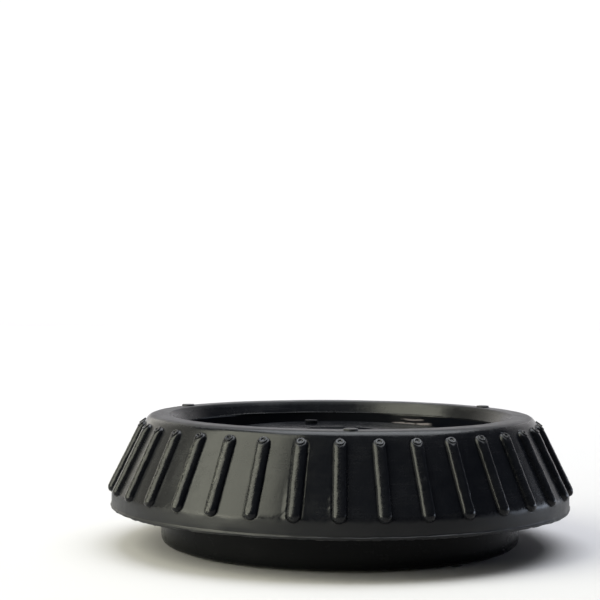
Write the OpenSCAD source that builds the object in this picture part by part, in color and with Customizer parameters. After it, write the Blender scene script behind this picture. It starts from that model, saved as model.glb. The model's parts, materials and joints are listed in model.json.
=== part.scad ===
// Rubber and steel top mount for a suspension strut.
// A moulded rubber body with a ribbed cone carries a pressed steel plate and a turned steel sleeve.
// The mount stands on its collar, axis along Z, with the small end of the cone up.

/* [Body] */
// Diameter of the band round the foot of the cone
band_d = 117.5; // [112:0.5:126]
// Height of the band
band_h = 4.8; // [3:0.1:7]
// How far the bead along the band's lower edge stands out
bead_out = 0.3; // [0.1:0.1:0.8]
// Height of the bead
bead_h = 1.2; // [0.8:0.1:2]
// Height of the cone, from the band to the rim
cone_h = 18.9; // [15:0.1:24]
// Diameter of the rim's inner edge
rim_inner_d = 88; // [84:0.1:92]
// Width of the rim, out to its corner before that is rounded
rim_w = 5.4; // [4.4:0.1:7]
// Rounding of the rim's outer corner
rim_round = 2.4; // [0.8:0.1:3]
// How far the lip stands in from the rim's inner edge
lip_in = 1.7; // [0.8:0.1:3]
// Depth of the lip below the rim
lip_drop = 3.2; // [2:0.1:4]

/* [Collar] */
// Inner diameter of the collar's end face
collar_inner_d = 81.4; // [78:0.2:84]
// Wall of the collar where it leaves the flange
collar_wall = 5.6; // [4.4:0.1:7]
// Height of the collar below the flange
collar_h = 9.1; // [7:0.1:12]
// Draft of the collar's outer wall, in degrees
collar_draft = 2; // [0:0.5:4]
// Rounding of the collar's outer edge
collar_round = 1.8; // [1:0.1:2.6]
// Height of the ledge inside the collar, above its end face
ledge_rise = 4.6; // [3:0.1:7]
// Width of the ledge inside the collar
ledge_w = 1.2; // [0.6:0.1:2]

/* [Hub] */
// Diameter of the hub's top face
hub_d = 58.6; // [54:0.2:62]
// Depth of the hub's top face below the rim
hub_drop = 4.4; // [3.5:0.1:7]
// Rounding of the hub's top edge
hub_round = 1.3; // [0.5:0.1:2]
// Inner diameter of the ring under the hub
ring_inner_d = 49.6; // [47:0.2:52]
// Width of the ring's face
ring_w = 3.5; // [3:0.1:4.5]
// How far the ring's face lies above the collar's end face
ring_rise = 1; // [0:0.1:2]
// Width of the step inside the ring
step_w = 3.1; // [2:0.1:4]
// Depth of the recess step above the ring's face
step_rise = 3.2; // [2:0.1:4.4]
// Diameter of the opening that shows the plate
window_d = 33; // [28:0.2:36]
// Thickness of the rubber edge round that opening
window_edge = 0.5; // [0.3:0.1:1]

/* [Web] */
// Height of the web's underside above the collar's end face
web_rise = 12.2; // [10:0.1:14]
// Thickness of the web that joins the hub to the cone
web_t = 6.4; // [4:0.1:8]
// Rounding at the bottom of the grooves
groove_round = 2.4; // [1:0.1:3]
// Draft of the groove walls, in degrees
groove_draft = 4; // [1:0.5:6]

/* [Ribs] */
// Number of ribs round the cone
rib_count = 36; // [24:1:40]
// Width of the round bar that forms a rib
rib_w = 3.6; // [2.4:0.1:4.4]
// Height of a rib above the cone
rib_h = 1.4; // [0.8:0.1:1.7]
// Distance of a rib's upper end from the rim's corner, along the cone
rib_top_gap = 1.7; // [0.5:0.1:3]
// How far a rib's lower end runs over the band
rib_foot_over = 0.8; // [0:0.1:1.2]

/* [Pips] */
// Number of pips on each ring face
pip_count = 3; // [3:1:6]
// Diameter of a pip
pip_d = 3.4; // [2:0.1:3.6]
// Height of the pips on the ring faces
pip_h = 0.4; // [0.2:0.1:0.6]
// Height of the pips on the hub's top
hub_pip_h = 0.9; // [0.4:0.1:1.2]
// How far the circle of pips on the collar lies in from the middle of its face
collar_pip_in = 0.4; // [0:0.1:0.6]
// Diameter of the circle of pips on the hub's top
hub_pip_circle = 44; // [36:0.5:50]
// Turn of the pips on the rim, in degrees from the front
rim_pip_turn = 3; // [0:1:119]
// Turn of the pips on the hub's top
hub_pip_turn = 81; // [0:1:119]
// Turn of the pips on the collar
collar_pip_turn = 40; // [0:1:119]
// Turn of the pips on the ring under the hub
ring_pip_turn = 58; // [0:1:119]

/* [Plate] */
// Outer diameter of the pressed plate
plate_d = 50; // [44:0.5:51]
// Thickness of the plate
plate_t = 2.5; // [2:0.1:3]
// Height of the plate's underside above the collar's end face
plate_rise = 8.3; // [7.5:0.1:9]
// Height of the drawn neck above the plate's underside
neck_h = 8; // [6:0.1:10]
// Wall of the neck
neck_t = 2.2; // [1.6:0.1:2.6]
// Bend radius where the plate runs into the neck
bend_r = 2.1; // [1.5:0.1:2.4]

/* [Sleeve] */
// Outer diameter of the sleeve
sleeve_d = 19.7; // [18:0.1:22]
// Bore of the sleeve, for the strut rod
bore_d = 12.3; // [10:0.1:14.3]
// How far the sleeve stands out below the plate
sleeve_out = 0.7; // [0.2:0.1:1.2]
// How far the sleeve's upper end lies below the hub's top
sleeve_sunk = 0.8; // [0.2:0.1:1.5]
// Chamfer at the lower mouth of the bore
mouth_chamfer = 0.7; // [0.3:0.1:1]
// Chamfer at the upper mouth of the bore and on the outer edges
edge_chamfer = 0.4; // [0.2:0.1:0.6]

/* [Hidden] */

rubber_colour = "#202124";
plate_colour = "#5a4238";
sleeve_colour = "#8d8f8e";

$fn = 96;
arc_steps = 5;
bar_sides = 32;
small_round = 0.5;
bond_inset = 0.5;

// Levels, from the plane on which the collar's pips rest
collar_z = pip_h;
flange_z = collar_z + collar_h;
band_z = flange_z + band_h;
rim_z = band_z + cone_h;
lip_z = rim_z - lip_drop;
hub_z = rim_z - hub_drop;
web_z = collar_z + web_rise;
web_top_z = web_z + web_t;
ring_z = collar_z + ring_rise;
step_z = ring_z + step_rise;
ledge_z = collar_z + ledge_rise;
plate_z = collar_z + plate_rise;
neck_z = plate_z + neck_h;
sleeve_z = plate_z - sleeve_out;
sleeve_top_z = hub_z - sleeve_sunk;

// Radii
band_r = band_d / 2;
bead_r = band_r + bead_out;
rim_r = rim_inner_d / 2 + rim_w;
lip_r = rim_inner_d / 2 - lip_in;
hub_r = hub_d / 2;
collar_inner_r = collar_inner_d / 2;
collar_r = collar_inner_r + collar_wall;
ring_inner_r = ring_inner_d / 2;
ring_r = ring_inner_r + ring_w;
step_r = ring_inner_r - step_w;
sleeve_r = sleeve_d / 2;
window_r = window_d / 2;
ledge_r = collar_inner_r - ledge_w;
collar_end_r = collar_r - collar_h * tan(collar_draft);
function drafted(r, rise) = r + rise * tan(groove_draft);

// Slope of the cone, from the band up to the rim's corner
cone_run = band_r - rim_r;
cone_len = norm([cone_run, cone_h]);
cone_tilt = atan2(cone_run, cone_h);

// Round each corner [radius, height, rounding] of a section with an arc
function at(corner) = [corner[0], corner[1]];
function unit(v) = v / norm(v);
function rounded_corner(before, corner, after, size) =
    let (
        to_before = unit(before - corner),
        to_after = unit(after - corner),
        half = acos(to_before * to_after) / 2,
        reach = size / tan(half),
        centre = corner + unit(to_before + to_after) * size / sin(half),
        first = corner + to_before * reach - centre,
        last = corner + to_after * reach - centre,
        start = atan2(first[1], first[0]),
        turn = atan2(cross(first, last), first * last)
    )
    [for (i = [0:arc_steps]) let (a = start + turn * i / arc_steps) centre + size * [cos(a), sin(a)]];
function rounded(corners) =
    let (n = len(corners))
    [
        for (i = [0:n - 1])
            let (c = corners[i], before = corners[(i + n - 1) % n], after = corners[(i + 1) % n])
            each c[2] == 0 ? [at(c)] : rounded_corner(at(before), at(c), at(after), c[2])
    ];

// Section of the rubber, from the sleeve's top outwards, round the collar and back under the hub
module rubber_section() {
    wall_r = sleeve_r + neck_t / 2;
    inside_z = plate_z + plate_t / 2;
    polygon(rounded([
        [sleeve_r, hub_z, 0],
        [hub_r, hub_z, hub_round],
        [drafted(hub_r, hub_z - web_top_z), web_top_z, groove_round],
        [drafted(lip_r, web_top_z - lip_z), web_top_z, groove_round],
        [lip_r, lip_z, small_round / 2],
        [rim_inner_d / 2, rim_z, small_round],
        [rim_r, rim_z, rim_round],
        [band_r, band_z, small_round],
        [band_r, flange_z + bead_h, 0],
        [bead_r, flange_z + bead_h - bead_out, 0],
        [bead_r, flange_z, small_round],
        [collar_r, flange_z, small_round],
        [collar_end_r, collar_z, collar_round],
        [collar_inner_r, collar_z, small_round],
        [drafted(collar_inner_r, collar_z - ledge_z), ledge_z, 0],
        [ledge_r, ledge_z + small_round, small_round / 2],
        [drafted(ledge_r, ledge_z - web_z), web_z, groove_round],
        [drafted(ring_r, web_z - ring_z), web_z, groove_round],
        [ring_r, ring_z, small_round],
        [ring_inner_r, ring_z, small_round],
        [drafted(ring_inner_r, ring_z - step_z), step_z, small_round],
        [step_r, step_z + small_round, small_round],
        [window_r + plate_z - window_edge - step_z, plate_z - window_edge - small_round, small_round],
        [window_r, plate_z - window_edge, small_round / 2],
        [window_r, inside_z, 0],
        [wall_r, inside_z, 0],
        [wall_r, neck_z - bond_inset, 0],
        [sleeve_r, neck_z - bond_inset, 0]
    ]));
}

// Section of the plate: a flat ring drawn up into a neck round the sleeve
module plate_section() {
    neck_r = sleeve_r + neck_t;
    polygon(rounded([
        [sleeve_r, plate_z, bend_r],
        [plate_d / 2, plate_z, small_round],
        [plate_d / 2, plate_z + plate_t, small_round],
        [neck_r, plate_z + plate_t, small_round],
        [neck_r, neck_z, small_round / 2],
        [sleeve_r, neck_z, 0]
    ]));
}

// Round bar with domed ends, along Z from the origin
module rib_bar(length) {
    r = rib_w / 2;
    straight = length - rib_w;
    translate([0, 0, r]) {
        cylinder(r = r, h = straight, $fn = bar_sides);
        for (z = [0, straight])
            translate([0, 0, z])
                sphere(r = r, $fn = bar_sides);
    }
}

// Ring of ribs that lie along the cone, sunk so that only the rounded back stands out
module ribs() {
    sink = rib_w / 2 - rib_h;
    length = cone_len - rib_top_gap + rib_foot_over;
    for (i = [0:rib_count - 1])
        rotate([0, 0, i * 360 / rib_count])
            translate([0, -band_r, band_z])
                rotate([-cone_tilt, 0, 0])
                    translate([0, sink, -rib_foot_over])
                        rib_bar(length);
}

// Circle of pips that stand on a face at height z, or hang from it if h is negative
module pips(circle_d, z, h, turn) {
    for (i = [0:pip_count - 1])
        rotate([0, 0, turn + i * 360 / pip_count])
            translate([0, -circle_d / 2, z - (h > 0 ? small_round : -h)])
                cylinder(d = pip_d, h = abs(h) + small_round);
}

module rubber_body() {
    color(rubber_colour)
    union() {
        rotate_extrude()
            difference() {
                rubber_section();
                plate_section();
            }
        ribs();
        pips(rim_inner_d + rim_w, rim_z, pip_h, rim_pip_turn);
        pips(hub_pip_circle, hub_z, hub_pip_h, hub_pip_turn);
        pips(collar_inner_r + collar_end_r - 2 * collar_pip_in, collar_z, -pip_h, collar_pip_turn);
        pips(ring_inner_d + ring_w, ring_z, -pip_h, ring_pip_turn);
    }
}

module insert_plate() {
    color(plate_colour)
    rotate_extrude()
        plate_section();
}

module centre_sleeve() {
    bore_r = bore_d / 2;
    color(sleeve_colour)
    rotate_extrude()
        polygon([
            [bore_r + mouth_chamfer, sleeve_z],
            [sleeve_r - edge_chamfer, sleeve_z],
            [sleeve_r, sleeve_z + edge_chamfer],
            [sleeve_r, sleeve_top_z - edge_chamfer / 2],
            [sleeve_r - edge_chamfer / 2, sleeve_top_z],
            [bore_r + edge_chamfer, sleeve_top_z],
            [bore_r, sleeve_top_z - edge_chamfer],
            [bore_r, sleeve_z + mouth_chamfer]
        ]);
}

rubber_body();
insert_plate();
centre_sleeve();
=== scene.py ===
"""Looks of a strut mount: moulded black rubber on a coated steel plate and a turned steel sleeve."""
import json
import math

import bmesh
import bpy
import numpy as np
from mathutils import Matrix, Vector, noise

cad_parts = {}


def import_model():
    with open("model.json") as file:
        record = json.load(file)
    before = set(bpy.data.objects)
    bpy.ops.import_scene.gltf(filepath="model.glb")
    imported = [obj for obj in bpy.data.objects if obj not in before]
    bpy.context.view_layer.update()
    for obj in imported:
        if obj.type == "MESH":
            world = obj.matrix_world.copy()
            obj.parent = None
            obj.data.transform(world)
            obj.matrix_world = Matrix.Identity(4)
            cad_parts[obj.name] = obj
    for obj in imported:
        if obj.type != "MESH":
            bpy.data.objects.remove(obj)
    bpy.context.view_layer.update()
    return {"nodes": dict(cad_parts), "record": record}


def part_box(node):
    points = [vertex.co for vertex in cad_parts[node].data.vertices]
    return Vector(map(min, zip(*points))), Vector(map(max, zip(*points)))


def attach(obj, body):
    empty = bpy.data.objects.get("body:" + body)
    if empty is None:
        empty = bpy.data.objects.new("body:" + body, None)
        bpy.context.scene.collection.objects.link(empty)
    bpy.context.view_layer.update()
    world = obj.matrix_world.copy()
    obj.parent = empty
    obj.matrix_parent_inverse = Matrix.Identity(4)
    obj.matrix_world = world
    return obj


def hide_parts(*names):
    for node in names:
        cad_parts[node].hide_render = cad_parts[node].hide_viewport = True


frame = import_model()

# Lengths of the part are in millimetres, and turns are counted from the front towards the right
MM = 0.001

# Ribs on the cone: radius and height of their section, how far they run over the cone's foot and stop
# short of its end, and how deep the worn skin lies in the CAD rib
RIB_COUNT = 36
RIB_RADIUS = 1.8
RIB_H = 1.4
RIB_FOOT_OVER = 0.92
RIB_TOP_SHORT = 0.21
RIB_SINK = 0.07
# Power of a rib's cross-section along its sides: 2 is half-round, and more is squarer
RIB_POWER = 2.2
# Marks of the skin's points: 1 on a rib's back, down to the mark of its foot, less close beside it,
# and the level above which a point lies on the rib
RIB_FOOT_MARK = 0.5
RIB_BESIDE_MARK = 0.3
ON_RIB = 0.4
# Torn flash at the left foot of two ribs, counted from the front one: its top, the length over which
# it fades, its height and the size of its tears
FLASH_RIBS = (-1, 0)
FLASH_TOP = 6.5
FLASH_FADE = 3
FLASH_H = 0.4
FLASH_TEARS = 0.9
# Thin uneven flash round the lip of the upper groove: its half thickness and the size of its lumps
LIP_FLASH = 0.2
LIP_FLASH_SIZE = 9

# Pips on the ring faces: radius, number on a circle, rounding and hollow, then for each circle the turn
# of one of its pips in degrees and its radius, and the height of the hub's pips
PIP_R = 1.7
PIP_COUNT = 3
PIP_EDGE = 0.18
PIP_HOLLOW = 0.06
RIM_PIP_TURN = 3
HUB_PIP_TURN = 81
COLLAR_PIP_TURN = 40
RING_PIP_TURN = 58
RIM_PIP_CIRCLE = 46.7
HUB_PIP_CIRCLE = 22.0
COLLAR_PIP_CIRCLE = 42.94
RING_PIP_CIRCLE = 26.55
HUB_PIP_H = 0.9
# Half the width that is taken up by the ring under the hub, with some room beside it
RING_HALF = 2.5

# Flats on the upper ends of the ribs, with a small vent ring on each: lean from the rib's back,
# distance of the flat from the middle of the rib's domed end, how far below the rim it may cut,
# radius, height and rounding of the ring, upper radius of its hollow, radius and height of its floor
VENT_LEAN = math.radians(27)
VENT_FLAT = 1.2
VENT_REACH = 6
VENT_R = 1.05
VENT_H = 0.32
VENT_EDGE = 0.12
VENT_HOLLOW_R = 0.46
VENT_FLOOR_R = 0.3
VENT_FLOOR = 0.02
# How deep the foot of a pip or a vent ring is set into the skin
ROOT = 0.5

# Unevenness of the skin: waves have a height and a size, dents a depth and a size, and some dents also
# the level of the noise at which they start, and its octaves. A sink lowers the whole face, that of
# the waves as a share of their height
WAVES = (0.05, 14)
WAVE_SINK = 0.7
FLANGE_WAVES = (0.12, 7)
FLANGE_PITS = (0.45, 2.0)
FLANGE_SINK = 0.15
BEAD_WAVES = (0.14, 2.6)
BEAD_DENTS = (0.16, 9)
BEAD_SINK = 0.08
RIB_NICKS = (0.09, 1.4, 0.0, 2)
RIB_DENTS = (0.10, 6, 0.1)
RIB_FOOT_LUMPS = (0.12, 4, 0.2)

# Smear of bonding agent on the far wall of the upper groove: middle and spread round the axis
SMEAR_TURN = math.radians(151)
SMEAR_SPREAD = math.radians(11)
# Its level streaks, which are painted glints: height, half thickness, strength, and how strong the
# smear's mark has to be
SMEAR_GLINT_STREAKS = ((27.4, 0.42, 1.0, 0.1), (28.55, 0.3, 0.7, 0.55))

# Mesh density: columns in each rib's sector, steps along a rib, spacing along the section,
# distance of the extra rows from the band's corners and from the lip, the least gap at the ends of
# the turned skin, and rows across a rib and from its foot to its sector's border, as shares
SECTOR_COLUMNS = 8
SIDE_STEPS = 30
FINE_STEP = 0.6
FACE_STEP = 1.2
GROOVE_STEP = 2.2
HIDDEN_STEP = 5.0
EDGE = 0.14
LIP_ROW = 0.5
ROW_GAP = 0.1
RIB_ROWS = (0.0, 0.14, 0.3, 0.5, 0.7, 0.86, 0.96, 1.0)
SPREAD_ROWS = (0.05, 0.14, 0.42, 0.76)
SECTOR = 2 * math.pi / RIB_COUNT
COLUMNS = RIB_COUNT * SECTOR_COLUMNS
# How far a rib's sector reaches below the rib's foot and above the cone's end
SECTOR_BELOW = 0.7
SECTOR_ABOVE = 0.5
VENT_SIDES = 28
PIP_SIDES = 32
FLASH_SIDES = 6
# Turn of the outline below which it counts as straight, and above which as a corner
STRAIGHT = math.radians(3)
CORNER = math.radians(25)
# Place of the section that is read from the CAD body: between two ribs and clear of the pips
SECTION_TURN = 1.47 * SECTOR

# Linear colours
RUBBER_DARK = (0.0017, 0.0020, 0.0030, 1)
RUBBER_BLOOM = (0.0036, 0.0038, 0.0048, 1)
MOULD_MARK = (0.008, 0.008, 0.008, 1)
# Pale grey of the ribs' scuffs and of the painted highlight specks on their sides that face the light
SCUFF_AND_HIGHLIGHT_GREY = (0.044, 0.044, 0.038, 1)
# Near black of the collar, painted shade under the flange
COLLAR_SHADE_BLACK = (0.004, 0.0042, 0.0045, 1)
TORN_GREY = (0.042, 0.041, 0.038, 1)
FACE_GREY = (0.034, 0.034, 0.030, 1)
STAIN_BROWN = (0.024, 0.016, 0.013, 1)
# Pale grey of the smear's painted glint streaks
SMEAR_GLINT_GREY = (0.118, 0.106, 0.112, 1)
COAT_DARK = (0.022, 0.015, 0.013, 1)
COAT_PALE = (0.046, 0.033, 0.028, 1)
COAT_SMEAR = (0.078, 0.060, 0.051, 1)
STEEL = (0.23, 0.23, 0.222, 1)
TARNISH = (0.15, 0.138, 0.126, 1)
FLOOR_DARK = (0.292, 0.285, 0.292, 1)
FLOOR_PALE = (0.312, 0.305, 0.310, 1)
# Specular level of the rubber and of its collar, which is set low to paint shade under the flange
RUBBER_SHINE = 0.15
COLLAR_SHADE_SHINE = 0.04


def turned(radius, height, angle):
    """Point at an angle from the front, counted towards the right."""
    return (radius * math.sin(angle), -radius * math.cos(angle), height)


def node_section(node, angle):
    """Outline of a node in the half plane at an angle, as radii and heights."""
    cut = bmesh.new()
    cut.from_mesh(frame["nodes"][node].data)
    bmesh.ops.remove_doubles(cut, verts=cut.verts, dist=1e-7)
    outward = Vector(turned(1, 0, angle))
    across = Vector((-outward.y, outward.x, 0))
    whole = [*cut.verts, *cut.edges, *cut.faces]
    made = bmesh.ops.bisect_plane(cut, geom=whole, plane_co=(0, 0, 0), plane_no=across)
    links = {}
    for edge in made["geom_cut"]:
        if isinstance(edge, bmesh.types.BMEdge):
            a, b = ((v.co.dot(outward) / MM, v.co.z / MM) for v in edge.verts)
            if a[0] > 0:
                links.setdefault(a, []).append(b)
                links.setdefault(b, []).append(a)
    cut.free()
    loop = [min(links), links[min(links)][0]]
    while loop[-1] != loop[0]:
        near, far = links[loop[-1]]
        loop.append(far if near == loop[-2] else near)
    return straightened(np.array(loop[:-1]))


def straightened(loop):
    """Outline without the points at which it hardly turns."""
    kept = []
    for i, point in enumerate(loop):
        before_it = Vector(point - (kept[-1] if kept else loop[-1]))
        after_it = Vector(loop[(i + 1) % len(loop)] - point)
        if before_it.angle(after_it) > STRAIGHT:
            kept.append(point)
    return np.array(kept)


def cone_first(loop):
    """The outline turned so that it starts at the foot of the cone and runs up it."""
    lengths = np.linalg.norm(np.roll(loop, -1, axis=0) - loop, axis=1)
    outer = np.minimum(loop[:, 0], np.roll(loop, -1, axis=0)[:, 0]) > COLLAR_PIP_CIRCLE
    i = int(np.argmax(np.where(outer, lengths, 0)))
    j = (i + 1) % len(loop)
    if loop[i][1] < loop[j][1]:
        return np.roll(loop, -i, axis=0)
    return np.roll(loop[::-1], -(len(loop) - 1 - j), axis=0)


# The rubber's section, and the places of the part that follow from it and from the other nodes
outline = cone_first(node_section("rubber_body", SECTION_TURN))
radii = outline[:, 0]
heights = outline[:, 1]
foot, cone_end = outline[0], outline[1]
CONE_LEN = float(np.linalg.norm(cone_end - foot))
cone_up = (cone_end - foot) / CONE_LEN
cone_out = np.array((cone_up[1], -cone_up[0]))
CONE_TILT = math.atan2(cone_out[1], cone_out[0])
RIB_SPINE = (RIB_RADIUS - RIB_FOOT_OVER, CONE_LEN - RIB_TOP_SHORT - RIB_RADIUS)
mounts = {m["name"]: m for m in frame["record"]["mounts"]}
FLANGE_Z = mounts["flange_seat"]["pos_m"][2] / MM
plate_low, plate_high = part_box("insert_plate")
sleeve_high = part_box("centre_sleeve")[1]
PLATE_R = plate_high.x / MM
PLATE_Z = plate_low.z / MM
NECK_Z = plate_high.z / MM
SLEEVE_R = sleeve_high.x / MM
BAND_Z = float(foot[1])
RIM_Z = float(heights.max())
BEAD_R = float(radii.max())
COLLAR_Z = float(heights.min())
COLLAR_R = float(radii[(radii > COLLAR_PIP_CIRCLE) & (np.abs(heights - FLANGE_Z) < 0.02)].min())
HUB_Z = float(heights[radii < PLATE_R].max())
HUB_R = float(radii[(heights > HUB_Z - 2) & (radii < RIM_PIP_CIRCLE - 10)].max())
RING_Z = float(heights[np.abs(radii - RING_PIP_CIRCLE) < RING_HALF].min())
groove_wall = outline[(radii > HUB_R + 5) & (radii < RIM_PIP_CIRCLE) & (heights < RIM_Z - 1.5)]
lip = groove_wall[int(np.argmax(groove_wall[:, 1]))]
# The pips of the collar stand on the frame's origin plane, and those of the rim are as high
PIP_H = COLLAR_Z


def row_step(r, z):
    """Spacing of the skin's rows: wide where the plate and the sleeve hide it, fine under the flange."""
    if r < SLEEVE_R + 0.1 or (r < PLATE_R + 0.3 and PLATE_Z - 0.05 < z < NECK_Z + 0.3):
        return HIDDEN_STEP
    if r > COLLAR_R and z < FLANGE_Z + 1.5:
        return FINE_STEP
    if COLLAR_Z + 5 < z < HUB_Z - 2 and r < COLLAR_R - 2:
        return GROOVE_STEP
    return FACE_STEP


class Section:
    """A closed outline that can be read at any distance along it."""

    def __init__(self, points):
        self.points = np.vstack([points, points[:1]])
        steps = np.linalg.norm(np.diff(self.points, axis=0), axis=1)
        self.along = np.concatenate([[0], np.cumsum(steps)])
        self.length = float(self.along[-1])
        corners = [float(s) for s in self.along if self.is_outer_corner(s)]
        lip_place = float(self.along[int(np.argmin(np.linalg.norm(points - lip, axis=1)))])
        self.extra = [s + side for s in corners for side in (-EDGE, EDGE)] + [lip_place + LIP_ROW]

    def is_outer_corner(self, s):
        """True at the sharp corners of the band and its bead, which get rows close beside them."""
        step = 0.05
        r, z = self.at(s)
        if r <= COLLAR_R + 5 or not FLANGE_Z + 0.5 < z < BAND_Z - 1:
            return False
        before_it = Vector(self.at(s) - self.at(s - step))
        after_it = Vector(self.at(s + step) - self.at(s))
        return before_it.angle(after_it) > CORNER

    def at(self, s):
        """Radius and height at a distance along the outline."""
        s = s % self.length
        return np.array([np.interp(s, self.along, self.points[:, k]) for k in (0, 1)])

    def rows(self, start, end):
        """Distances from start to end: the outline's own points, and rows between those far apart."""
        own = [start, *(float(s) for s in self.along if start + ROW_GAP < s < end - ROW_GAP), end]
        own = sorted({*own, *(s for s in self.extra if start < s < end)})
        rows = [start]
        for a, b in zip(own, own[1:]):
            pieces = math.ceil((b - a) / row_step(*self.at((a + b) / 2)))
            rows.extend(a + (b - a) * (k + 1) / pieces for k in range(pieces))
        return rows


class Skin:
    """Points, faces and rib marks of a mesh while it is being made."""

    def __init__(self):
        self.verts = []
        self.faces = []
        self.ribs = []

    def add(self, point, rib=0.0):
        """Adds a point and gives its number."""
        self.verts.append(point)
        self.ribs.append(rib)
        return len(self.verts) - 1

    def band(self, near, far):
        """Closes the strip between two closed rows of points; a repeated point makes a triangle."""
        for i in range(len(near)):
            j = (i + 1) % len(near)
            face = dict.fromkeys((near[i], far[i], far[j], near[j]))
            if len(face) > 2:
                self.faces.append(list(face))


def rib_steps(low, high):
    """Evenly spaced places along a rib's side."""
    return [low + (high - low) * k / SIDE_STEPS for k in range(SIDE_STEPS + 1)]


def stadium(reach, low, high):
    """Places (across, along) round a rib's spine: up the right side, over the top and back down."""
    rise = rib_steps(low, high)
    turns = [math.pi * k / SECTOR_COLUMNS for k in range(SECTOR_COLUMNS + 1)]
    ring = [(reach, s) for s in rise]
    ring += [(reach * math.cos(a), high + reach * math.sin(a)) for a in turns[1:]]
    ring += [(-reach, s) for s in reversed(rise[:-1])]
    ring += [(-reach * math.cos(a), low - reach * math.sin(a)) for a in turns[1:-1]]
    return ring


def sector_border(low, high):
    """Places (share of the sector, along) on the border of a rib's sector, in its stadium's order."""
    rise = rib_steps(low, high)
    shares = [0.5 - k / SECTOR_COLUMNS for k in range(SECTOR_COLUMNS + 1)]
    border = [(0.5, s) for s in rise]
    border += [(share, high) for share in shares[1:]]
    border += [(-0.5, s) for s in reversed(rise[:-1])]
    border += [(-share, low) for share in shares[1:-1]]
    return border


def rib_row(skin, section, angle, share, half_w):
    """One row of points round a rib, at a share of its half width."""
    made = {}
    row = []
    for across, s in stadium(share * half_w, *RIB_SPINE):
        key = (round(across, 6), round(s, 6))
        if key not in made:
            power = 2 + (RIB_POWER - 2) * abs(across) / max(share * half_w, 0.001)
            height = RIB_H * (1 - share ** power) ** (1 / power)
            r, z = foot + cone_up * s + cone_out * height if share < 1 else section.at(s)
            mark = 1 + (RIB_FOOT_MARK - 1) * share
            made[key] = skin.add(turned(r, z, angle + across / r), mark)
        row.append(made[key])
    return row


def spread_row(skin, section, angle, places, spread):
    """One row of points on the cone, at a share of the way from a rib's foot to its sector's border."""
    mark = RIB_BESIDE_MARK if spread == SPREAD_ROWS[0] else 0.0
    row = []
    for (across, s), (share, edge_s) in places:
        r, z = section.at(s + (edge_s - s) * spread)
        turn = across / r * (1 - spread) + share * SECTOR * spread
        row.append(skin.add(turned(r, z, angle + turn), mark))
    return row


def add_rib(skin, section, angle, border, low, high):
    """One rib and the cone round it, out to border, the row of points round its sector."""
    half_w = math.sqrt(RIB_RADIUS ** 2 - (RIB_RADIUS - RIB_H) ** 2)
    rows = [rib_row(skin, section, angle, share, half_w) for share in RIB_ROWS]
    places = list(zip(stadium(half_w, *RIB_SPINE), sector_border(low, high)))
    rows += [spread_row(skin, section, angle, places, spread) for spread in SPREAD_ROWS]
    rows.append(border)
    for near, far in zip(rows, rows[1:]):
        skin.band(near, far)


def add_cone(skin, section, top_row, bottom_row, low, high):
    """The ribbed cone, between two rows of the turned skin."""
    rise = rib_steps(low, high)[1:-1]
    sides = []
    for k in range(RIB_COUNT):
        angle = (k - 0.5) * SECTOR
        sides.append([skin.add(turned(*section.at(s), angle)) for s in rise])
    for k in range(RIB_COUNT):
        columns = [(k * SECTOR_COLUMNS + i) % COLUMNS for i in range(SECTOR_COLUMNS + 1)]
        top = [top_row[c] for c in columns]
        bottom = [bottom_row[c] for c in columns]
        left, right = sides[k], sides[(k + 1) % RIB_COUNT]
        border = [bottom[-1], *right, *reversed(top), *reversed(left), *bottom[:-1]]
        add_rib(skin, section, k * SECTOR, border, low, high)


def make_rubber(material):
    """The rubber moulding as one closed skin, with the unevenness of the real one."""
    section = Section(outline)
    low = -RIB_FOOT_OVER - SECTOR_BELOW
    high = CONE_LEN + SECTOR_ABOVE
    turns = [(c / SECTOR_COLUMNS - 0.5) * SECTOR for c in range(COLUMNS)]
    skin = Skin()
    rows = []
    for s in section.rows(high, section.length + low):
        r, z = section.at(s)
        rows.append([skin.add(turned(r, z, turn)) for turn in turns])
    for near, far in zip(rows, rows[1:]):
        skin.band(far, near)
    add_cone(skin, section, rows[0], rows[-1], low, high)
    piece = add_object("rubber_skin", skin.verts, skin.faces, material)
    for edge in piece.data.edges:
        edge.use_edge_sharp = all(skin.ribs[v] == RIB_FOOT_MARK for v in edge.vertices)
    wear_rubber(piece, skin.ribs)
    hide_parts("rubber_body")


def add_object(name, verts, faces, material):
    """Mesh object from points in millimetres, riding on the part."""
    mesh = bpy.data.meshes.new(name)
    mesh.from_pydata([Vector(v) * MM for v in verts], [], faces)
    mesh.materials.append(material)
    mesh.shade_smooth()
    mesh.update()
    piece = bpy.data.objects.new(name, mesh)
    bpy.context.scene.collection.objects.link(piece)
    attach(piece, "root")
    return piece


def add_mark(mesh, name, values):
    """Stores a value for each of a mesh's points, for its material to read."""
    mesh.attributes.new(name, "FLOAT", "POINT").data.foreach_set("value", values)


def lumps(point, size, octaves=3):
    """Smooth noise of about -1 to 1 at a point, with lumps about size wide."""
    return noise.fractal(Vector(point) / size, 0.9, 2.1, octaves)


def waves(point, height, size):
    """Height of gentle waves at a point."""
    return height * lumps(point, size)


def dents(point, depth, size, start=0.0, octaves=3):
    """Depth of scattered dents at a point, where the noise is above start."""
    return depth * max(0.0, lumps(point, size, octaves) - start)


def ramp(x, low, high):
    """0 below low, 1 above high, and smooth between them."""
    t = min(1.0, max(0.0, (x - low) / (high - low)))
    return t * t * (3 - 2 * t)


def past(x, start, soft):
    """0 up to start, and 1 from a soft edge past it."""
    return ramp(x, start, start + soft)


def before(x, end, soft):
    """0 from end on, and 1 from a soft edge before it."""
    return ramp(end - x, 0, soft)


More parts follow.
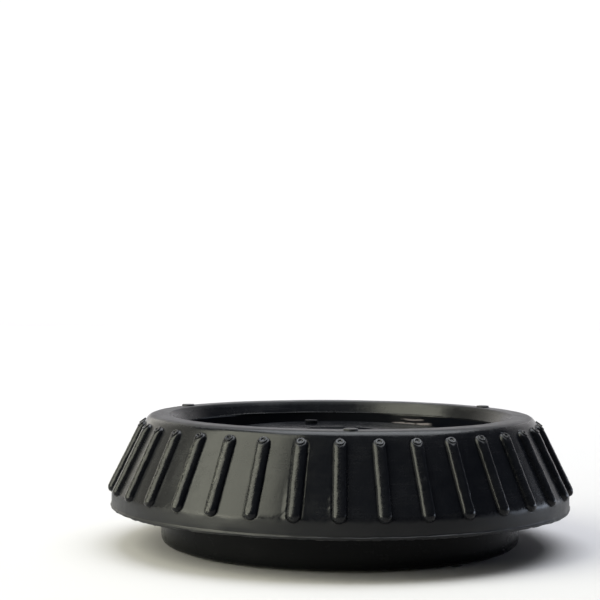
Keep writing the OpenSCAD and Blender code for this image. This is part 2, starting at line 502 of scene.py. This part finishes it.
def vent_place(angle):
    """Middle of the flat at a rib's upper end, and the direction it faces."""
    lean = CONE_TILT + VENT_LEAN
    dome = foot + cone_up * RIB_SPINE[1] - cone_out * (RIB_RADIUS - RIB_H)
    spot = dome + VENT_FLAT * np.array((math.cos(lean), math.sin(lean)))
    return Vector(turned(*spot, angle)), Vector(turned(math.cos(lean), math.sin(lean), angle))


def ring_face(r):
    """1 on the radii of the ring under the hub."""
    return 1.0 if abs(r - RING_PIP_CIRCLE) < RING_HALF else 0.0


def under_flange(r, z):
    """1 on the rough underside of the flange."""
    return past(r, COLLAR_R, 1.2) * before(z, FLANGE_Z + 0.5, 0.4)


def torn_flash(point, r, z, turn):
    """Height of the flash left standing at a place beside a rib's foot."""
    rib = round(turn / SECTOR)
    if rib not in FLASH_RIBS or turn > rib * SECTOR:
        return 0.0
    along = (r - foot[0]) * cone_up[0] + (z - foot[1]) * cone_up[1]
    tears = max(0.0, 0.4 + 1.2 * lumps(point, FLASH_TEARS))
    return FLASH_H * before(along, FLASH_TOP, FLASH_FADE) * tears


def unevenness(point, r, z, turn, rib):
    """How far a point of the skin moves along its normal."""
    height, size = WAVES
    push = height * (lumps(point, size) - WAVE_SINK)
    under = under_flange(r, z)
    if under > 0:
        push -= under * (FLANGE_SINK + dents(point, *FLANGE_PITS) + waves(point, *FLANGE_WAVES))
    bead = past(r, BEAD_R - 0.7, 0.5) * before(z, FLANGE_Z + 1.7, 0.6)
    if bead > 0:
        push -= bead * (BEAD_SINK + waves(point, *BEAD_WAVES) + dents(point, *BEAD_DENTS))
    if rib > ON_RIB:
        push -= RIB_SINK + dents(point, *RIB_NICKS) + dents(point, *RIB_DENTS)
    elif rib > 0:
        push += dents(point, *RIB_FOOT_LUMPS) + torn_flash(point, r, z, turn)
    return push


def rib_nicks(turn):
    """How plainly a rib's small nicks show: least on the right, most on the left."""
    return 0.15 + 0.85 * past(-turn, -0.2, 0.5)


def rib_scuffs_and_highlights(r, z, turn):
    """How scuffed a rib is at a place, and where painted highlight specks go on the sides that face the
    light: on its left side below the vent, most on the ribs of the left.
    """
    left = -turn
    across = r * math.remainder(turn, SECTOR)
    left_side = before(across, 0.6 + 0.7 * past(left, 0.6, 0.7), 0.6)
    below_vent = before(z, RIM_Z - 3, 0.8)
    shown = (0.25 + 0.75 * past(left, 0.3, 0.25)) * before(left, 2.2, 0.7)
    return left_side * below_vent * shown


def skin_marks(r, z, turn, rib):
    """Where the rubber differs from its plain look, from 0 to 1, each mark with soft edges."""
    under = under_flange(r, z)
    away = abs(math.remainder(turn - SMEAR_TURN, 2 * math.pi))
    outer_wall = past(r, HUB_R + 4, 2) * before(r, RIM_PIP_CIRCLE, 0.5)
    rim_top = past(z, RIM_Z - 0.6, 0.5)
    band = past(r, COLLAR_R + 5, 1) * before(z, BAND_Z, 0.5) * (1 - under)
    hub_top = before(r, HUB_R, 1) * past(z, HUB_Z - 1, 0.7)
    groove = past(r, HUB_R, 0.5) * before(r, lip[0] + 0.3, 0.3)
    groove *= before(z, lip[1] - 0.1, 0.3) * past(z, COLLAR_Z + 12, 2)
    collar_end = before(z, COLLAR_Z + 0.4, 0.3)
    ring_end = ring_face(r) * before(z, RING_Z + 0.4, 0.3)
    nicked = rib_nicks(turn) if rib > ON_RIB else 0.0
    return {
        "rough": under,
        "stain": before(r, PLATE_R - 0.8, 2) * before(z, PLATE_Z + 0.3, 0.4),
        "smear": before(away, SMEAR_SPREAD, SMEAR_SPREAD) * outer_wall,
        # Painted shade on the collar under the flange
        "painted_collar_shade": before(r, COLLAR_R + 0.6, 0.6) * before(z, FLANGE_Z + 0.6, 0.5),
        "dull": max(rim_top, band),
        "sleek": max(groove, hub_top),
        "pale": max(collar_end, ring_end),
        "nicked": nicked,
        # Scuffs, with painted highlights where the ribs face the light
        "scuffed_and_lit": nicked * rib_scuffs_and_highlights(r, z, turn),
    }


def wear_rubber(piece, ribs):
    """Moves the skin's points a little, cuts the vents' flats, and stores the skin's marks."""
    mesh = piece.data
    normals = [v.normal.copy() for v in mesh.vertices]
    vents = [vent_place(k * SECTOR) for k in range(RIB_COUNT)]
    marks = []
    for vertex, normal, rib in zip(mesh.vertices, normals, ribs):
        point = vertex.co / MM
        r, z = math.hypot(point.x, point.y), point.z
        turn = math.atan2(point.x, -point.y)
        vertex.co += normal * unevenness(point, r, z, turn, rib) * MM
        if rib > ON_RIB and z > RIM_Z - VENT_REACH:
            spot, axis = vents[round(turn / SECTOR) % RIB_COUNT]
            above = (vertex.co / MM - spot).dot(axis)
            vertex.co -= axis * max(0.0, above) * MM
        marks.append(skin_marks(r, z, turn, rib))
    for name in marks[0]:
        add_mark(mesh, name, [mark[name] for mark in marks])
    mesh.update()


def lathe(profile, segments, place, verts, faces):
    """Adds a small turned form: profile points (radius, height) about an axis placed by a matrix."""
    rings = []
    for r, h in profile:
        count = segments if r else 1
        first = len(verts)
        for k in range(count):
            a = 2 * math.pi * k / segments
            verts.append(place @ Vector((r * math.cos(a), r * math.sin(a), h)))
        rings.append([first + k % count for k in range(segments)])
    for low, high in zip(rings, rings[1:]):
        for k in range(segments):
            j = (k + 1) % segments
            faces.append(list(dict.fromkeys((low[k], low[j], high[j], high[k]))))


def axis_frame(place, axis):
    """Matrix that puts a turned form at a place, with its axis along a direction."""
    return Matrix.Translation(Vector(place)) @ Vector(axis).to_track_quat("Z", "Y").to_matrix().to_4x4()


def make_vent_rings(material):
    """Small raised rings with a hollow, where the mould was vented at the ribs' upper ends."""
    bevel = VENT_EDGE / 3
    profile = [
        (0, -ROOT), (VENT_R, -ROOT), (VENT_R, VENT_H - VENT_EDGE), (VENT_R - bevel, VENT_H - bevel),
        (VENT_R - VENT_EDGE, VENT_H), (VENT_HOLLOW_R + VENT_EDGE, VENT_H),
        (VENT_HOLLOW_R + bevel, VENT_H - bevel), (VENT_HOLLOW_R, VENT_H - VENT_EDGE),
        (VENT_FLOOR_R + 0.1, 2 * VENT_FLOOR), (VENT_FLOOR_R, VENT_FLOOR), (0, VENT_FLOOR),
    ]
    verts, faces = [], []
    for k in range(RIB_COUNT):
        spot, axis = vent_place(k * SECTOR)
        lathe(profile, VENT_SIDES, axis_frame(spot, axis), verts, faces)
    add_object("vent_rings", verts, faces, material)


def make_lip_flash(material):
    """Thin uneven thread of rubber round the lip of the upper groove."""
    verts, faces = [], []
    for c in range(COLUMNS):
        angle = 2 * math.pi * c / COLUMNS
        thick = LIP_FLASH * max(0.2, 0.6 + 0.7 * lumps(turned(*lip, angle), LIP_FLASH_SIZE))
        for k in range(FLASH_SIDES):
            a = 2 * math.pi * k / FLASH_SIDES
            verts.append(turned(lip[0] + thick * math.cos(a), lip[1] + thick * math.sin(a), angle))
    for c in range(COLUMNS):
        near, far = c * FLASH_SIDES, (c + 1) % COLUMNS * FLASH_SIDES
        for k in range(FLASH_SIDES):
            j = (k + 1) % FLASH_SIDES
            faces.append((near + k, far + k, far + j, near + j))
    add_object("lip_flash", verts, faces, material)


def pip_profile(tall):
    """Section of a pip with a rounded edge and a slightly hollow end."""
    bevel = 0.3 * PIP_EDGE
    return [
        (0, -ROOT), (PIP_R, -ROOT), (PIP_R, tall - PIP_EDGE), (PIP_R - bevel, tall - bevel),
        (PIP_R - PIP_EDGE, tall), (PIP_R / 2, tall - PIP_HOLLOW / 2), (0, tall - PIP_HOLLOW),
    ]


def make_pips(material):
    """Flat pips on the rim, the hub's top, the collar and the ring under the hub."""
    circles = [
        (RIM_PIP_CIRCLE, RIM_Z, PIP_H, RIM_PIP_TURN, "dull"),
        (HUB_PIP_CIRCLE, HUB_Z, HUB_PIP_H, HUB_PIP_TURN, "sleek"),
        (COLLAR_PIP_CIRCLE, COLLAR_Z, -PIP_H, COLLAR_PIP_TURN, "pale"),
        (RING_PIP_CIRCLE, RING_Z, -PIP_H, RING_PIP_TURN, "pale"),
    ]
    verts, faces, looks = [], [], []
    for circle_r, z, height, turn, look in circles:
        for k in range(PIP_COUNT):
            angle = math.radians(turn + k * 360 / PIP_COUNT)
            place = axis_frame(turned(circle_r, z, angle), (0, 0, height))
            lathe(pip_profile(abs(height)), PIP_SIDES, place, verts, faces)
        looks += [look] * (len(verts) - len(looks))
    piece = add_object("mould_pips", verts, faces, material)
    for name in ("pale", "dull", "sleek"):
        add_mark(piece.data, name, [float(look == name) for look in looks])


class Shader:
    """A material's nodes, added and linked in short lines."""

    def __init__(self, name):
        self.material = bpy.data.materials.new(name)
        self.material.use_nodes = True
        self.tree = self.material.node_tree
        self.out = self.tree.nodes["Principled BSDF"]

    def add(self, kind, **settings):
        """A new node with some of its settings."""
        made = self.tree.nodes.new(kind)
        for key, value in settings.items():
            setattr(made, key, value)
        return made

    def put(self, value, socket):
        """Links an output to an input, or sets the input's own value."""
        if isinstance(value, bpy.types.NodeSocket):
            self.tree.links.new(value, socket)
        else:
            socket.default_value = value

    def math(self, operation, a, b=0.0, clamp=False):
        """One operation on two values."""
        made = self.add("ShaderNodeMath", operation=operation, use_clamp=clamp)
        self.put(a, made.inputs[0])
        self.put(b, made.inputs[1])
        return made.outputs[0]

    def plus(self, a, b):
        """The sum of two values."""
        return self.math("ADD", a, b)

    def minus(self, a, b):
        """The difference of two values."""
        return self.math("SUBTRACT", a, b)

    def times(self, a, b):
        """The product of two values."""
        return self.math("MULTIPLY", a, b)

    def position(self):
        """Place in the part, in metres."""
        return self.add("ShaderNodeTexCoord").outputs["Object"]

    def noise(self, vector, scale, detail=4.0, roughness=0.55):
        """Smooth noise of 0 to 1, with about scale lumps to each unit of the vector."""
        made = self.add("ShaderNodeTexNoise")
        self.put(vector, made.inputs["Vector"])
        made.inputs["Scale"].default_value = scale
        made.inputs["Detail"].default_value = detail
        made.inputs["Roughness"].default_value = roughness
        return made.outputs["Fac"]

    def ramp(self, value, low, high, out_low=0.0, out_high=1.0):
        """Takes the range from low to high to another range."""
        made = self.add("ShaderNodeMapRange")
        self.put(value, made.inputs["Value"])
        made.inputs["From Min"].default_value = low
        made.inputs["From Max"].default_value = high
        made.inputs["To Min"].default_value = out_low
        made.inputs["To Max"].default_value = out_high
        return made.outputs[0]

    def mix(self, share, a, b):
        """Colour that goes from a to b with a share."""
        made = self.add("ShaderNodeMix", data_type="RGBA")
        self.put(share, made.inputs["Factor"])
        self.put(a, made.inputs["A"])
        self.put(b, made.inputs["B"])
        return made.outputs["Result"]

    def level(self):
        """Height in the part, in millimetres."""
        split = self.add("ShaderNodeSeparateXYZ")
        self.put(self.position(), split.inputs[0])
        return self.math("DIVIDE", split.outputs[2], MM)

    def attribute(self, name):
        """A mark stored with the mesh."""
        return self.add("ShaderNodeAttribute", attribute_name=name).outputs["Fac"]

    def around(self, across, along):
        """Coordinates that run slowly round the axis and quickly along it, for turned marks."""
        place = self.position()
        split = self.add("ShaderNodeSeparateXYZ")
        self.put(place, split.inputs[0])
        flat = self.add("ShaderNodeVectorMath", operation="MULTIPLY")
        self.put(place, flat.inputs[0])
        flat.inputs[1].default_value = (1, 1, 0)
        unit = self.add("ShaderNodeVectorMath", operation="NORMALIZE")
        self.put(flat.outputs[0], unit.inputs[0])
        radius = self.add("ShaderNodeVectorMath", operation="LENGTH")
        self.put(flat.outputs[0], radius.inputs[0])
        level = self.minus(split.outputs[2], radius.outputs["Value"])
        lift = self.add("ShaderNodeCombineXYZ")
        self.put(self.times(level, along), lift.inputs[2])
        made = self.add("ShaderNodeVectorMath", operation="MULTIPLY_ADD")
        self.put(unit.outputs[0], made.inputs[0])
        made.inputs[1].default_value = (across, across, 0)
        self.put(lift.outputs[0], made.inputs[2])
        return made.outputs[0]

    def bump(self, height, distance, strength=1.0, below=None):
        """Normal bent by a height, on top of another normal if one is given."""
        made = self.add("ShaderNodeBump")
        self.put(height, made.inputs["Height"])
        made.inputs["Distance"].default_value = distance
        made.inputs["Strength"].default_value = strength
        if below is not None:
            self.put(below, made.inputs["Normal"])
        return made.outputs[0]


def smear_glint_streaks(s):
    """Strength of the smear's level streaks, painted glints in a pale grey, which waver and are torn
    into lengths.
    """
    waver = s.ramp(s.noise(s.position(), 110, 2), 0.3, 0.7, -0.25, 0.25)
    level = s.plus(s.level(), waver)
    mark = s.attribute("smear")
    found = 0.0
    for height, half, strength, share in SMEAR_GLINT_STREAKS:
        away = s.math("ABSOLUTE", s.minus(level, height))
        streak = s.ramp(away, 0.5 * half, half, strength, 0.0)
        streak = s.times(streak, s.ramp(mark, share, share + 0.2))
        found = s.math("MAXIMUM", found, streak)
    return s.times(found, s.ramp(s.noise(s.around(16, 900), 1.0, 2), 0.3, 0.48))


def rubber_colour(s, place, bloom, marks, smear):
    """Near black with a paler bloom and mould marks, grey scuffs with painted highlight specks, painted
    shade on the collar, cut faces, stains and the smear with its painted glint streaks.
    """
    specks = s.ramp(s.noise(place, 2400, 3, 0.6), 0.46, 0.62)
    scuff_and_highlight = s.math("MULTIPLY", s.attribute("scuffed_and_lit"), specks, clamp=True)
    blotches = s.ramp(s.noise(place, 130, 4), 0.3, 0.7)
    stain = s.math("MULTIPLY", s.attribute("stain"), blotches, clamp=True)
    torn = s.times(s.ramp(s.noise(place, 520, 5, 0.7), 0.4, 0.7), s.ramp(bloom, 0.35, 0.6, 0.45, 1.0))
    worn = s.times(s.attribute("pale"), s.ramp(marks, 0.2, 0.7, 0.5, 0.9))
    colour = s.mix(s.ramp(bloom, 0.35, 0.7), RUBBER_DARK, RUBBER_BLOOM)
    colour = s.mix(s.times(s.ramp(marks, 0.5, 0.72), 0.2), colour, MOULD_MARK)
    # Scuffs and painted highlight specks on the ribs' lit sides
    colour = s.mix(s.times(scuff_and_highlight, 0.65), colour, SCUFF_AND_HIGHLIGHT_GREY)
    # Painted shade: the collar under the flange turned near black
    colour = s.mix(s.times(s.attribute("painted_collar_shade"), 0.8), colour, COLLAR_SHADE_BLACK)
    colour = s.mix(s.times(s.attribute("rough"), torn), colour, TORN_GREY)
    colour = s.mix(worn, colour, FACE_GREY)
    colour = s.mix(s.times(stain, 0.6), colour, STAIN_BROWN)
    # The smear's streaks: a real smear of bonding agent with painted glints
    return s.mix(s.times(smear, 0.9), colour, SMEAR_GLINT_GREY)


def rubber_roughness(s, place, bloom, marks, smear):
    """Satin, duller on worn and cut faces, and smoother in the groove, on the hub and in the smear."""
    dull_faces = s.plus(s.attribute("dull"), s.attribute("pale"))
    value = s.plus(s.ramp(bloom, 0.3, 0.7, 0.19, 0.25), s.ramp(marks, 0.3, 0.7, -0.01, 0.03))
    value = s.plus(value, s.ramp(s.noise(place, 330, 5, 0.65), 0.35, 0.65, -0.02, 0.05))
    value = s.plus(value, s.times(s.attribute("rough"), 0.26))
    value = s.plus(value, s.times(dull_faces, 0.2))
    value = s.minus(value, s.times(s.attribute("sleek"), 0.13))
    return s.minus(value, s.times(smear, 0.16))


def rubber_shine(s):
    """Specular level: more on the rim and the band, less on the collar as painted shade under the
    flange, and less in the groove and on the hub.
    """
    value = s.ramp(s.attribute("painted_collar_shade"), 0.0, 1.0, RUBBER_SHINE, COLLAR_SHADE_SHINE)
    value = s.plus(s.times(s.attribute("dull"), 0.07), value)
    return s.minus(value, s.times(s.attribute("sleek"), 0.14))


def rubber_normal(s, place, marks, smear):
    """Mould marks, grain, the ribs' nicks, torn flange and the smear's thickness."""
    nicks = s.times(s.attribute("nicked"), s.noise(place, 1500, 3, 0.6))
    pits = s.times(s.attribute("rough"), s.noise(place, 900, 6, 0.7))
    normal = s.bump(marks, 0.00002, 0.5)
    normal = s.bump(s.noise(place, 1600, 3), 0.000025, 0.5, normal)
    normal = s.bump(nicks, 0.00014, 0.5, normal)
    normal = s.bump(pits, 0.0006, 0.9, normal)
    return s.bump(smear, 0.0002, 0.4, normal)


def rubber_material():
    """Satin black rubber with the wear, painted highlights and painted shade that the skin's marks
    place.
    """
    s = Shader("moulded_rubber")
    place = s.position()
    bloom = s.noise(place, 55, 5)
    marks = s.noise(s.around(6, 1900), 1.0, 4)
    smear = smear_glint_streaks(s)
    s.put(rubber_colour(s, place, bloom, marks, smear), s.out.inputs["Base Color"])
    s.put(rubber_roughness(s, place, bloom, marks, smear), s.out.inputs["Roughness"])
    # The export drops what is linked to this socket. Its own value holds the plain rubber's
    # level, for where the link is not read
    s.out.inputs["Specular IOR Level"].default_value = RUBBER_SHINE
    s.put(rubber_shine(s), s.out.inputs["Specular IOR Level"])
    s.put(rubber_normal(s, place, marks, smear), s.out.inputs["Normal"])
    return s.material


def plate_material():
    """Brown bonding coat on pressed steel, smeared round the ring."""
    s = Shader("bonding_coat")
    smear = s.noise(s.around(10, 900), 1.0, 4)
    blotch = s.noise(s.position(), 160, 5)
    colour = s.mix(s.ramp(blotch, 0.35, 0.65), COAT_DARK, COAT_PALE)
    colour = s.mix(s.times(s.ramp(smear, 0.5, 0.72), 0.5), colour, COAT_SMEAR)
    s.put(colour, s.out.inputs["Base Color"])
    s.put(s.ramp(blotch, 0.3, 0.7, 0.34, 0.6), s.out.inputs["Roughness"])
    s.put(s.bump(smear, 0.00012, 0.5, s.bump(blotch, 0.0002, 0.4)), s.out.inputs["Normal"])
    return s.material


def sleeve_material():
    """Dull turned steel with fine rings and a little tarnish."""
    s = Shader("turned_steel")
    rings = s.noise(s.around(1.5, 5200), 1.0, 2)
    tarnish = s.noise(s.position(), 240, 5)
    s.put(s.mix(s.ramp(tarnish, 0.4, 0.7), STEEL, TARNISH), s.out.inputs["Base Color"])
    s.out.inputs["Metallic"].default_value = 1.0
    s.put(s.ramp(rings, 0.3, 0.7, 0.48, 0.64), s.out.inputs["Roughness"])
    s.put(s.bump(rings, 0.00004, 0.6), s.out.inputs["Normal"])
    return s.material


def floor_material():
    """Pale matt floor with a faint cloudiness."""
    s = Shader("pale_floor")
    cloud = s.noise(s.position(), 3, 3)
    s.put(s.mix(cloud, FLOOR_DARK, FLOOR_PALE), s.out.inputs["Base Color"])
    s.out.inputs["Roughness"].default_value = 0.9
    s.out.inputs["Specular IOR Level"].default_value = 0.1
    return s.material


def make_floor():
    """Pale floor, in metres, that sweeps up into a curved wall behind the part."""
    flat_r, bend, wall = 2.2, 1.0, 0.9
    flat_rings, flat_sides = 8, 96
    half_span, columns, bend_rows = math.radians(57), 64, 24
    turns = [math.pi / 2 * (k / bend_rows) ** 1.6 for k in range(1, bend_rows + 1)]
    rows = [(flat_r, 0)]
    rows += [(flat_r + bend * math.sin(a), bend - bend * math.cos(a)) for a in turns]
    rows.append((flat_r + bend, bend + wall))
    verts, faces = [], []
    flat = [(flat_r * k / flat_rings, 0) for k in range(flat_rings + 1)]
    lathe(flat, flat_sides, Matrix(), verts, faces)
    first = len(verts)
    columns_at = [math.pi + half_span * (2 * k / columns - 1) for k in range(columns + 1)]
    for r, h in rows:
        verts.extend(turned(r, h, angle) for angle in columns_at)
    for i in range(len(rows) - 1):
        for k in range(columns):
            a = first + i * (columns + 1) + k
            faces.append((a, a + 1, a + columns + 2, a + columns + 1))
    mesh = bpy.data.meshes.new("floor")
    mesh.from_pydata(verts, [], faces)
    mesh.materials.append(floor_material())
    mesh.shade_smooth()
    floor = bpy.data.objects.new("floor", mesh)
    bpy.context.scene.collection.objects.link(floor)


def panel_light(name, place, aim, size, radiance, colour):
    """Soft rectangular light of a given brightness that looks from a place at an aim, in metres."""
    data = bpy.data.lights.new(name, "AREA")
    data.shape = "RECTANGLE"
    data.size, data.size_y = size
    data.energy = math.pi * size[0] * size[1] * radiance
    data.color = colour
    lamp = bpy.data.objects.new(name, data)
    lamp.location = place
    lamp.rotation_euler = (Vector(aim) - Vector(place)).to_track_quat("-Z", "Y").to_euler()
    lamp.visible_camera = False
    bpy.context.scene.collection.objects.link(lamp)


def from_part(turn, elevation, distance):
    """Point at a distance from the part, at a turn and an elevation in degrees."""
    e = math.radians(elevation)
    return turned(distance * math.cos(e), distance * math.sin(e), math.radians(turn))


def make_lights():
    """A tall warm window on the left, a dim one beside it, low strips on the left and the right,
    a cool panel above, a light on the back wall, and a dark room."""
    aim = (0, 0, 0.02)
    warm, amber = (1.0, 1.0, 0.82), (1.0, 0.95, 0.74)
    cool, blue = (0.92, 0.96, 1.0), (0.76, 0.85, 1.0)
    white = (1.0, 1.0, 1.0)
    panel_light("left_window", from_part(-64, 30, 1.0), aim, (0.84, 1.15), 10.0, warm)
    panel_light("left_side", from_part(-126, 21, 1.0), aim, (1.20, 0.70), 0.75, amber)
    panel_light("right_strip", from_part(106, 6, 1.0), aim, (0.75, 0.2), 5.5, blue)
    panel_light("left_strip", from_part(-56, 4, 0.95), aim, (0.55, 0.14), 10.0, warm)
    panel_light("overhead", (0.3, 0.15, 1.6), (0.3, 0.15, 0), (1.9, 1.3), 8.5, cool)
    panel_light("backdrop", (0, 1.3, 1.9), (0, 3.0, 0.5), (3.0, 0.6), 33.0, white)
    world = bpy.data.worlds.new("room")
    world.use_nodes = True
    background = world.node_tree.nodes["Background"]
    background.inputs["Color"].default_value = (0.72, 0.80, 1.0, 1)
    background.inputs["Strength"].default_value = 0.06
    bpy.context.scene.world = world


def make_camera():
    """Camera at the photograph's angle: low in front, with the part in the lower part of the frame.
    Lengths are in metres and angles in radians."""
    distance, height = 0.39526, 0.06556
    pan, tilt, roll = -0.02692, 0.00773, 0.00699
    focal_px, frame_px, sensor = 1524.8, 600, 36.0
    forward = Vector((math.sin(pan) * math.cos(tilt), math.cos(pan) * math.cos(tilt), -math.sin(tilt)))
    level = Vector((math.cos(pan), -math.sin(pan), 0))
    upright = level.cross(forward)
    right = level * math.cos(roll) + upright * math.sin(roll)
    up = upright * math.cos(roll) - level * math.sin(roll)
    data = bpy.data.cameras.new("camera")
    data.sensor_width = sensor
    data.lens = sensor * focal_px / frame_px
    data.clip_start, data.clip_end = 0.01, 20
    camera = bpy.data.objects.new("camera", data)
    camera.matrix_world = Matrix((right, up, -forward)).transposed().to_4x4()
    camera.location = (0, -distance, height)
    bpy.context.scene.collection.objects.link(camera)
    bpy.context.scene.camera = camera


def dress(node, material):
    """Gives a CAD node its material."""
    slots = frame["nodes"][node].data.materials
    slots.clear()
    slots.append(material)


rubber = rubber_material()
make_rubber(rubber)
make_vent_rings(rubber)
make_lip_flash(rubber)
make_pips(rubber)
dress("insert_plate", plate_material())
dress("centre_sleeve", sleeve_material())
make_floor()
make_lights()
make_camera()
bpy.context.scene.view_settings.view_transform = "Standard"
